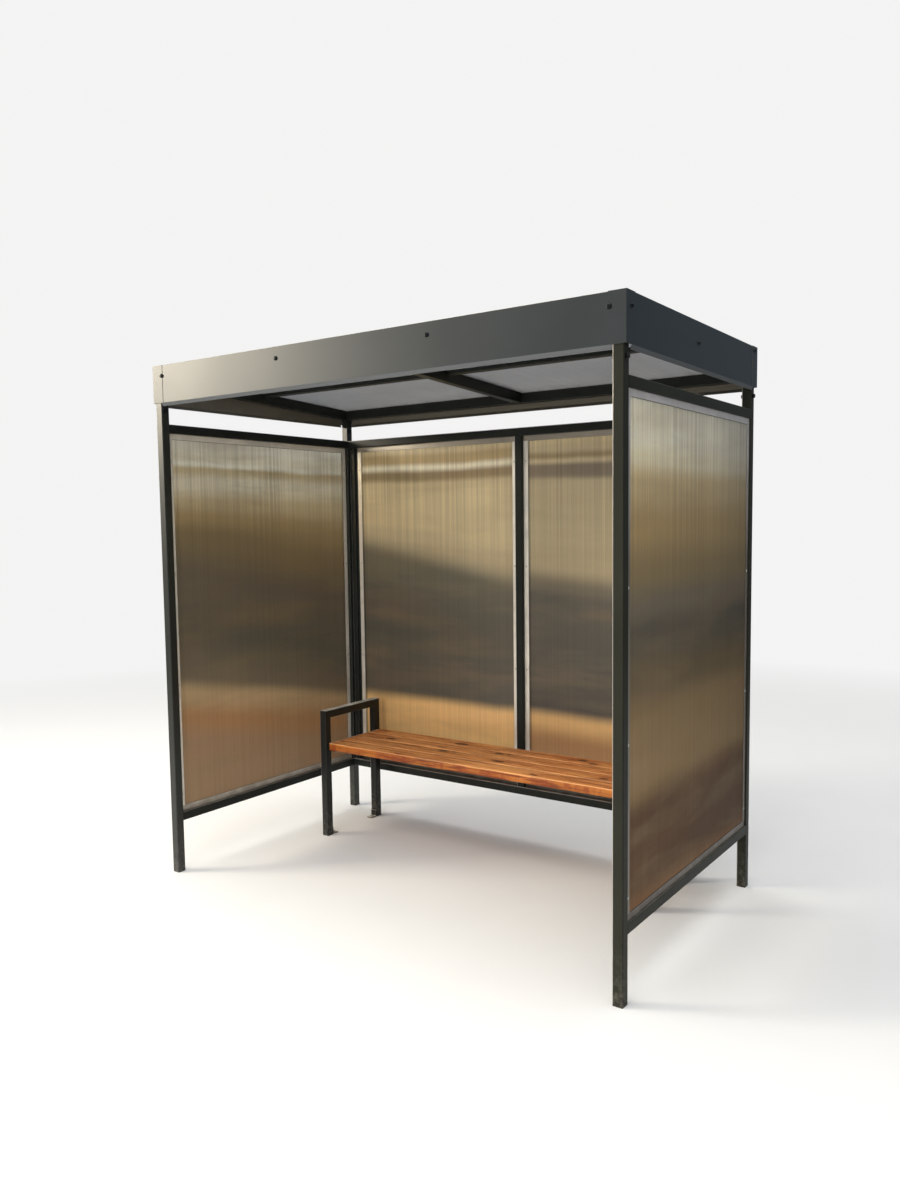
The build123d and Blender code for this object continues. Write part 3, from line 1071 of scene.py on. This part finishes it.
@dataclass
class SeatPlanks:
    """The bench's planks, eased along their edges, each with its own grain and a slight warp."""

    ease: float = 4.0 * MM
    crown: float = 0.7 * MM
    cuts: int = 24
    long_edge: float = 0.5
    waves: tuple[float, float] = (4.1, 1.7)
    knots: tuple[tuple[Triple, ...], ...] = (
        ((-0.832, 0.205, 0.009), (0.34, 0.165, 0.011), (-0.43, 0.15, 0.008)),
        ((-0.265, 0.315, 0.016), (-0.205, 0.325, 0.008), (0.075, 0.285, 0.018), (0.63, 0.27, 0.012)),
        ((-0.655, 0.39, 0.017), (-0.32, 0.375, 0.009), (0.0, 0.415, 0.014), (0.05, 0.42, 0.008)),
        ((-0.27, 0.485, 0.024), (0.405, 0.51, 0.018), (0.475, 0.475, 0.013), (-0.80, 0.52, 0.01)),
    )

    def build(self) -> None:
        """Build every plank in the place of its CAD solid."""
        for number, knots in enumerate(self.knots, 1):
            low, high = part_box(f"seat_plank_{number}")
            mesh = block(low, high)
            soften(mesh, mesh.edges[:], self.ease, 4)
            lengthways = edges_along(mesh, Vector((1.0, 0.0, 0.0)))
            long_edges = [edge for edge in lengthways if edge.calc_length() > self.long_edge]
            bmesh.ops.subdivide_edges(mesh, edges=long_edges, cuts=self.cuts, use_grid_fill=True)
            for vert in mesh.verts:
                wave, swing = (vert.co.x * turns for turns in self.waves)
                ripple = math.sin(wave + number * 2.3) * math.cos(swing - number)
                if vert.co.z > (low.z + high.z) / 2:
                    vert.co.z += self.crown * (ripple - 1.0) * 0.5
            grain = OiledPlank(f"oiled_plank_{number}", number, knots, low, high).material()
            piece(f"plank_{number}", mesh, grain, "oiled_wood", [f"seat_plank_{number}"])


def aim(seat: Vector, facing: Facing) -> Matrix:
    """Return the matrix that turns +Z to a direction and moves the origin to the seat."""
    return Matrix.Translation(seat) @ UP.rotation_difference(Vector(facing.value)).to_matrix().to_4x4()


def turned(
    mesh: Mesh, seat: Vector, facing: Facing, profile: tuple[tuple[float, float], ...], steps: int = 20
) -> None:
    """Add a round form spun from a profile.

    Args:
        mesh: The mesh that it is added to.
        seat: The middle of the face that it sits on.
        facing: The way it looks.
        profile: Radii and heights above the seat.
        steps: How many sides it has.
    """
    turn = aim(seat, facing)
    verts = [mesh.verts.new(turn @ Vector((radius, 0.0, height))) for radius, height in profile]
    edges = [mesh.edges.new(pair) for pair in zip(verts, verts[1:])]
    bmesh.ops.spin(
        mesh, geom=verts + edges, cent=seat, axis=Vector(facing.value), steps=steps, angle=math.tau,
        use_merge=True)


@dataclass(frozen=True)
class PanHead:
    """A screw's round head with a recess."""

    radius: float
    rise: float

    def add(self, mesh: Mesh, seat: Vector, facing: Facing) -> None:
        """Add the head to a mesh.

        Args:
            mesh: The mesh.
            seat: The middle of the face that the head sits on.
            facing: The way it looks.
        """
        r, h = self.radius, self.rise
        turned(mesh, seat, facing, (
            (0.0, 0.0), (r, 0.0), (r, 0.25 * h), (0.86 * r, 0.74 * h), (0.6 * r, h),
            (0.34 * r, h), (0.3 * r, 0.5 * h), (0.0, 0.4 * h)))


@dataclass(frozen=True)
class HexHead:
    """A bolt's or nut's hexagon on a washer."""

    radius: float
    rise: float
    washer: float
    washer_rise: float = 1.2 * MM

    def add(self, mesh: Mesh, seat: Vector, facing: Facing) -> None:
        """Add the head to a mesh.

        Args:
            mesh: The mesh.
            seat: The middle of the face that the washer lies on.
            facing: The way the head looks.
        """
        r, thin = self.washer, self.washer_rise
        turned(mesh, seat, facing, ((0.0, 0.0), (r, 0.0), (r, thin), (0.0, thin)))
        turn = aim(seat, facing) @ Matrix.Translation((0.0, 0.0, thin + self.rise / 2))
        made = bmesh.ops.create_cone(
            mesh, cap_ends=True, segments=6, radius1=self.radius, radius2=self.radius, depth=self.rise,
            matrix=turn)["verts"]
        edges = dict.fromkeys(edge for vert in made for edge in vert.link_edges)
        soften(mesh, edges, self.radius * 0.09, 2)


Seats = Iterator[tuple[Vector, Facing, PanHead | HexHead]]


@dataclass
class Fasteners:
    """Screws of the fascia and the edgings, bolts through the posts, and the bench's anchors and screws.

    Attributes:
        front_screws: The right half of the front fascia's screws. The left half and the rear mirror them.
        side_screws: The right fascia's screws. The left mirrors them.
        post_faces: The outer and the inner face of a corner post, along X.
    """

    black: SmallPart = SmallPart("black_screw", (0.004, 0.004, 0.005), (0.22, 0.42), gloss=0.25)
    zinc: SmallPart = SmallPart("zinc_screw", (0.46, 0.46, 0.43), (0.3, 0.5), metallic=0.9)
    fascia_screw: PanHead = PanHead(9.0 * MM, 5.0 * MM)
    edging_screw: PanHead = PanHead(5.0 * MM, 2.25 * MM)
    bolt: HexHead = HexHead(9.5 * MM, 8.0 * MM, 11.21 * MM)
    nut: HexHead = HexHead(8.5 * MM, 6.5 * MM, 11.0 * MM)
    anchor: HexHead = HexHead(8.2 * MM, 6.4 * MM, 10.5 * MM)
    seat_screw: HexHead = HexHead(4.5 * MM, 3.2 * MM, 6.2 * MM)
    front_screws: tuple[Triple, ...] = ((0.381, -0.6518, 2.295), (1.1003, -0.6533, 2.295))
    side_screws: tuple[Triple, ...] = (
        (1.1613, -0.6153, 2.296), (1.1598, -0.027, 2.264), (1.1613, 0.6153, 2.325))
    post_faces: tuple[float, float] = (1.15, 1.11)
    post_y: float = 0.63
    bolt_z: float = 2.14
    anchor_x: float = 0.895
    anchor_y: tuple[float, float] = (0.188, 0.497)
    tab: float = 4.0 * MM
    seat_angle_x: float = 0.851
    screw_apart: float = 24.0 * MM
    edging_middle: float = 13.0 * MM
    edging_heights: tuple[float, ...] = (0.36, 0.88, 1.40, 1.92)

    def build(self) -> None:
        """Build all fasteners, grouped by what they hold."""
        black, zinc = self.black.material(), self.zinc.material()
        for name, seats, material, slot, stands_for in (
            ("fascia_screw_heads", self.fascia_screws(), black, "dark_fastener", ("fascia_screws",)),
            ("post_bolts", self.post_bolts(), black, "dark_fastener", ()),
            ("bench_anchors", self.bench_anchors(), zinc, "zinc_fastener", ()),
            ("seat_screws", self.seat_screws(), zinc, "zinc_fastener", ()),
            ("edging_screws", self.edging_screws(), zinc, "zinc_fastener", ()),
        ):
            mesh = bmesh.new()
            for seat, facing, head in seats:
                head.add(mesh, seat, facing)
            bmesh.ops.remove_doubles(mesh, verts=mesh.verts[:], dist=0.001 * MM)
            bmesh.ops.recalc_face_normals(mesh, faces=mesh.faces[:])
            piece(name, mesh, material, slot, stands_for)

    def fascia_screws(self) -> Seats:
        """Yield the screws on the four fascia panels."""
        for y_way, facing in ((1.0, Facing.FRONT), (-1.0, Facing.REAR)):
            for x, y, z in self.front_screws:
                for x_way in (-1.0, 1.0):
                    yield Vector((x_way * x, y_way * y, z)), facing, self.fascia_screw
        for x_way, facing in ((-1.0, Facing.LEFT), (1.0, Facing.RIGHT)):
            for x, y, z in self.side_screws:
                yield Vector((x_way * x, y, z)), facing, self.fascia_screw

    def post_bolts(self) -> Seats:
        """Yield a bolt head outside and a nut inside each corner post, under the roof frame."""
        for x_way, sides in ((-1.0, (Facing.LEFT, Facing.RIGHT)), (1.0, (Facing.RIGHT, Facing.LEFT))):
            for y in (-self.post_y, self.post_y):
                for x, facing, head in zip(self.post_faces, sides, (self.bolt, self.nut)):
                    yield Vector((x_way * x, y, self.bolt_z)), facing, head

    def bench_anchors(self) -> Seats:
        """Yield a ground anchor on every tab of the bench."""
        for x in (-self.anchor_x, self.anchor_x):
            for y in self.anchor_y:
                yield Vector((x, y, self.tab)), Facing.UP, self.anchor

    def seat_screws(self) -> Seats:
        """Yield two screws under each end of every plank, through the seat angles."""
        for number in range(1, 5):
            low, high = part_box(f"seat_plank_{number}")
            middle = (low.y + high.y) / 2
            for x in (-self.seat_angle_x, self.seat_angle_x):
                for y in (middle - self.screw_apart, middle + self.screw_apart):
                    yield Vector((x, y, low.z - self.tab)), Facing.DOWN, self.seat_screw

    def edging_screws(self) -> Seats:
        """Yield small screws down both upright members of every edging, on its two faces."""
        for wall in Wall:
            low, high = room(f"edging_{wall}")
            index, through = wall.across.value, wall.through
            faces = (Facing.FRONT, Facing.REAR) if wall.across is Across.X else (Facing.LEFT, Facing.RIGHT)
            for end in (low[index] + self.edging_middle, high[index] - self.edging_middle):
                for height in self.edging_heights:
                    for facing, place in zip(faces, (low[through], high[through])):
                        seat = Vector((0.0, 0.0, height))
                        seat[index], seat[through] = end, place
                        yield seat, facing, self.edging_screw


@dataclass
class SteelAndTrim:
    """Gives every CAD node that stays in view its finish."""

    frame_coat: PowderCoat = PowderCoat("frame_coat", ANTHRACITE, 0.34, 0.5, gloss=0.14)
    fascia_coat: PowderCoat = PowderCoat(
        "fascia_coat", (0.017, 0.022, 0.025), 0.36, 0.3, 0.22, backing=(0.13, 0.12, 0.095))
    # The bench's top faces turn fully towards a near-white colour, which paints the low sun on the armrests
    # as well as dirt.
    bench_coat: PowderCoat = PowderCoat(
        "bench_coat", (0.012, 0.013, 0.012), 0.36, 1.0, powder=(0.98, 0.92, 0.80), gloss=0.22)
    # Painted highlight and painted shade: a lit copy of the frame coat for the left posts, and a shaded copy
    # with hardly any gloss for the right posts and rails.
    dull_coat: PowderCoat = PowderCoat("frame_coat_dull", (0.024, 0.025, 0.019), 0.36, 0.4, gloss=0.05)
    lit_coat: PowderCoat = PowderCoat("frame_coat_lit", ANTHRACITE, 0.34, 0.5, gloss=0.42)
    # Painted light on the edgings: a lighter, lit copy for the left wall, and a shaded copy, darker towards
    # the bottom, for the right wall.
    edging: MillAluminium = MillAluminium(
        "mill_aluminium", colour=(0.84, 0.795, 0.695), grime_and_shade=(0.34, 0.30, 0.25), metallic=0.25)
    dull_edging: MillAluminium = MillAluminium("mill_aluminium_dull", grime_and_shade=(0.09, 0.07, 0.055), shaded=0.85)
    weathered_bar: MillAluminium = MillAluminium("weathered_aluminium", colour=(0.36, 0.36, 0.35), rough=0.45)

    def build(self) -> None:
        """Assign the materials by the nodes' names."""
        coats = {
            ("post_", "rail_", "roof_tube_", "roof_rafter", "roof_purlins"): self.frame_coat.material(),
            ("post_front_left", "post_rear_left"): self.lit_coat.material(),
            ("post_front_right", "post_rear_right", "rail_right_"): self.dull_coat.material(),
            ("fascia_", "corner_cover_"): self.fascia_coat.material(),
            ("bench_", "seat_angle_"): self.bench_coat.material(),
            ("edging_left",): self.edging.material(),
            ("roof_joint_bar",): self.weathered_bar.material(),
            ("edging_right",): self.dull_edging.material(),
        }
        for prefixes, material in coats.items():
            for name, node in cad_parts.items():
                if name.startswith(prefixes):
                    node.data.materials.clear()
                    node.data.materials.append(material)
                    log.info("%s: %s", name, material.name)


@dataclass(frozen=True)
class Lamp:
    """A rectangular lamp: where it stands and points, its size in metres, its power in watts."""

    name: str
    place: Triple
    target: Triple
    size: tuple[float, float]
    power: float
    colour: Colour
    mirrored: bool = True

    def build(self) -> None:
        """Add the lamp. The camera never shows it, and glossy faces do only if it is mirrored."""
        data = bpy.data.lights.new(self.name, "AREA")
        data.shape = "RECTANGLE"
        data.size, data.size_y = self.size
        data.energy, data.color = self.power, self.colour
        lamp = bpy.data.objects.new(self.name, data)
        lamp.location = self.place
        lamp.rotation_euler = (Vector(self.target) - Vector(self.place)).to_track_quat("-Z", "Y").to_euler()
        lamp.visible_camera = False
        lamp.visible_glossy = self.mirrored
        bpy.context.scene.collection.objects.link(lamp)


@dataclass
class Studio:
    """A pale floor, soft lamps, a white surround and the camera at the photograph's angle."""

    eye: Triple = (2.4473, -3.4524, 1.6176)
    yaw: float = 35.23
    pitch: float = 4.61
    roll: float = -0.75
    focal_pixels: float = 949.34
    long_side: float = 1200.0
    sensor: float = 36.0
    clip: tuple[float, float] = (0.05, 200.0)
    floor_half: float = 60.0
    fade_out: tuple[float, float] = (2.6, 7.5)
    mottle: tuple[Colour, Colour] = ((0.82, 0.82, 0.815), (0.85, 0.85, 0.845))
    backdrop: Colour = (0.90, 0.90, 0.895)
    sun_side: Triple = (-0.77, -0.60, 0.2)
    sky_cool: Colour = (0.72, 0.85, 1.0)
    sky_warm: Colour = (1.0, 0.97, 0.90)
    sky_dim: float = 0.17
    sky_bright: float = 0.85
    lamps: tuple[Lamp, ...] = (
        Lamp("low_sun", (-6.4, -4.6, 3.7), (0.0, 0.0, 1.6), (1.8, 1.8), 400.0, (1.0, 0.90, 0.72)),
        Lamp("overhead", (0.0, -1.0, 6.5), (0.0, -0.6, 0.0), (7.0, 7.0), 360.0, (1.0, 1.0, 1.0)),
        Lamp("front_fill", (0.4, -6.0, 2.6), (0.0, 0.0, 1.1), (3.5, 2.4), 115.0, (1.0, 0.98, 0.95), False),
        Lamp("right_sky", (2.6, -0.3, 3.3), (1.14, -0.1, 1.9), (1.8, 0.6), 6.0, (1.0, 0.97, 0.92), False),
        Lamp(
            "ground_bounce", (-0.4, -2.0, 0.06), (-0.3, 0.3, 2.2), (2.6, 1.2), 26.0, (1.0, 0.93, 0.82),
            False),
    )

    def build(self) -> None:
        """Build the stage, the world, the lamps and the camera."""
        self.floor()
        self.surround()
        for lamp in self.lamps:
            lamp.build()
        self.camera()

    def floor(self) -> None:
        """Build the pale floor, which keeps the shelter's shadow."""
        mesh = bmesh.new()
        bmesh.ops.create_grid(mesh, x_segments=1, y_segments=1, size=self.floor_half)
        data = bpy.data.meshes.new("floor")
        mesh.to_mesh(data)
        mesh.free()
        g = begin("pale_floor")
        away = g.add("VectorMath", g.place, operation="LENGTH")
        fade = g.span(away.outputs["Value"], *self.fade_out)
        seen = g.add("LightPath").outputs["Is Camera Ray"]
        glow = g.times(fade, g.span(seen, 0.0, 1.0, self.sky_dim, 1.0))
        mottle = g.mix(g.noise(3.0, 3.0), *self.mottle)
        data.materials.append(g.finish(
            base_color=g.mix(fade, mottle, (0.0, 0.0, 0.0)), roughness=0.9, specular_ior_level=0.0,
            emission_color=self.backdrop, emission_strength=glow))
        ground = bpy.data.objects.new("floor", data)
        bpy.context.scene.collection.objects.link(ground)
        ground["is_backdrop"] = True

    def surround(self) -> None:
        """Set a soft world that is plain white to the camera."""
        world = bpy.data.worlds.new("studio")
        bpy.context.scene.world = world
        g = Graph(world)
        toward = g.dot(g.add("TexCoord").outputs["Generated"], self.sun_side)
        hue = g.mix(g.span(toward, -0.6, 0.6), self.sky_cool, self.sky_warm)
        level = g.span(toward, -1.0, 1.0, self.sky_dim, self.sky_bright)
        soft = g.add("Background", hue, level)
        seen = g.add("Background", self.backdrop, 1.0)
        by_camera = g.add("LightPath").outputs["Is Camera Ray"]
        blend = g.add("MixShader", by_camera, soft.outputs[0], seen.outputs[0])
        g.add("OutputWorld", blend.outputs[0])

    def camera(self) -> None:
        """Set the camera where the photograph was taken from."""
        yaw, pitch, roll = (math.radians(v) for v in (self.yaw, self.pitch, self.roll))
        data = bpy.data.cameras.new("camera")
        data.sensor_width = self.sensor
        data.lens = self.focal_pixels / self.long_side * self.sensor
        data.clip_start, data.clip_end = self.clip
        camera = bpy.data.objects.new("camera", data)
        upright = Matrix.Rotation(yaw, 4, "Z") @ Matrix.Rotation(math.pi / 2 - pitch, 4, "X")
        camera.matrix_world = Matrix.Translation(self.eye) @ upright @ Matrix.Rotation(roll, 4, "Z")
        bpy.context.scene.collection.objects.link(camera)
        bpy.context.scene.camera = camera


def main() -> None:
    """Build the shelter's pieces and the studio around them."""
    logging.basicConfig(level=logging.INFO, format="%(name)s %(message)s")
    bpy.context.scene.view_settings.view_transform = "Standard"
    for part in (SteelAndTrim(), FlutedWalls(), RoofCover(), SeatPlanks(), Fasteners(), Studio()):
        part.build()
    boxes = {"cad": CAD_BOX, "visual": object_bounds()}
    {name: [list(low), list(high)] for name, (low, high) in boxes.items()}


if __name__ == "__main__":
    main()
